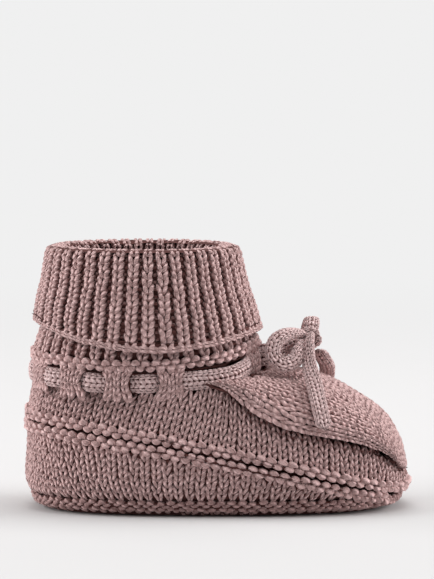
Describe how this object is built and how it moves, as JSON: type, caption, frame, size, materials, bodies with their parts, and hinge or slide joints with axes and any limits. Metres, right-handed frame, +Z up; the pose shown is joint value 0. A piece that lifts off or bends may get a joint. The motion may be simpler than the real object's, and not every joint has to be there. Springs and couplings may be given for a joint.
{
  "type": "baby bootie",
  "caption": "Knitted baby bootie with a ribbed turned-down cuff, a ridged welt, an instep panel and a drawstring tied in a bow at the ankle.",
  "frame": {"origin": "floor under the middle of the sole", "axes": "+X to the toe, +Y to the left, +Z up"},
  "size_m": [0.1056, 0.0585, 0.0723],
  "materials": {
    "yarn_plain": "plain knitted cotton, matt",
    "yarn_rib": "ribbed knitted cotton, matt",
    "yarn_garter": "garter-stitch cotton, matt",
    "yarn_cord": "fine knitted cotton cord, matt"
  },
  "bodies": {
    "shoe": {"sole": "yarn_garter", "lower_wall": "yarn_plain", "welt_lower_ridge": "yarn_garter", "welt_upper_ridge": "yarn_garter", "upper_wall": "yarn_plain", "eyelet_band": "yarn_plain", "instep_panel": "yarn_plain", "ankle_ridge": "yarn_garter", "ankle_rib": "yarn_rib", "drawstring": "yarn_cord"},
    "cuff": {"cuff_lip": "yarn_rib", "cuff_roll": "yarn_rib", "cuff_flap": "yarn_rib", "cuff_edge": "yarn_rib"},
    "bow": {"bow_knot": "yarn_cord", "lace_right": "yarn_cord", "lace_left": "yarn_cord"},
    "loop_right": {"bow_loop_right": "yarn_cord"},
    "loop_left": {"bow_loop_left": "yarn_cord"},
    "tail_right": {"bow_tail_right": "yarn_cord"},
    "tail_left": {"bow_tail_left": "yarn_cord"}
  },
  "joints": [
    {"name": "cuff_raise", "type": "slide", "parent": "shoe", "child": "cuff", "axis": [0, 0, 1], "range_m": [0, 0.01]},
    {"name": "bow_lift", "type": "hinge", "parent": "shoe", "child": "bow", "pos_m": [0.0142, 0, 0.0431], "axis": [0, -1, 0], "range_deg": [0, 25]},
    {"name": "loop_right_lift", "type": "hinge", "parent": "bow", "child": "loop_right", "pos_m": [0.0253, 0, 0.0457], "axis": [-1, 0, 0], "range_deg": [0, 25]},
    {"name": "loop_left_lift", "type": "hinge", "parent": "bow", "child": "loop_left", "pos_m": [0.0253, 0, 0.0457], "axis": [1, 0, 0], "range_deg": [0, 25]},
    {"name": "tail_right_lift", "type": "hinge", "parent": "bow", "child": "tail_right", "pos_m": [0.0253, 0, 0.0457], "axis": [-1, 0, 0], "range_deg": [0, 40]},
    {"name": "tail_left_lift", "type": "hinge", "parent": "bow", "child": "tail_left", "pos_m": [0.0253, 0, 0.0457], "axis": [1, 0, 0], "range_deg": [0, 40]}
  ]
}
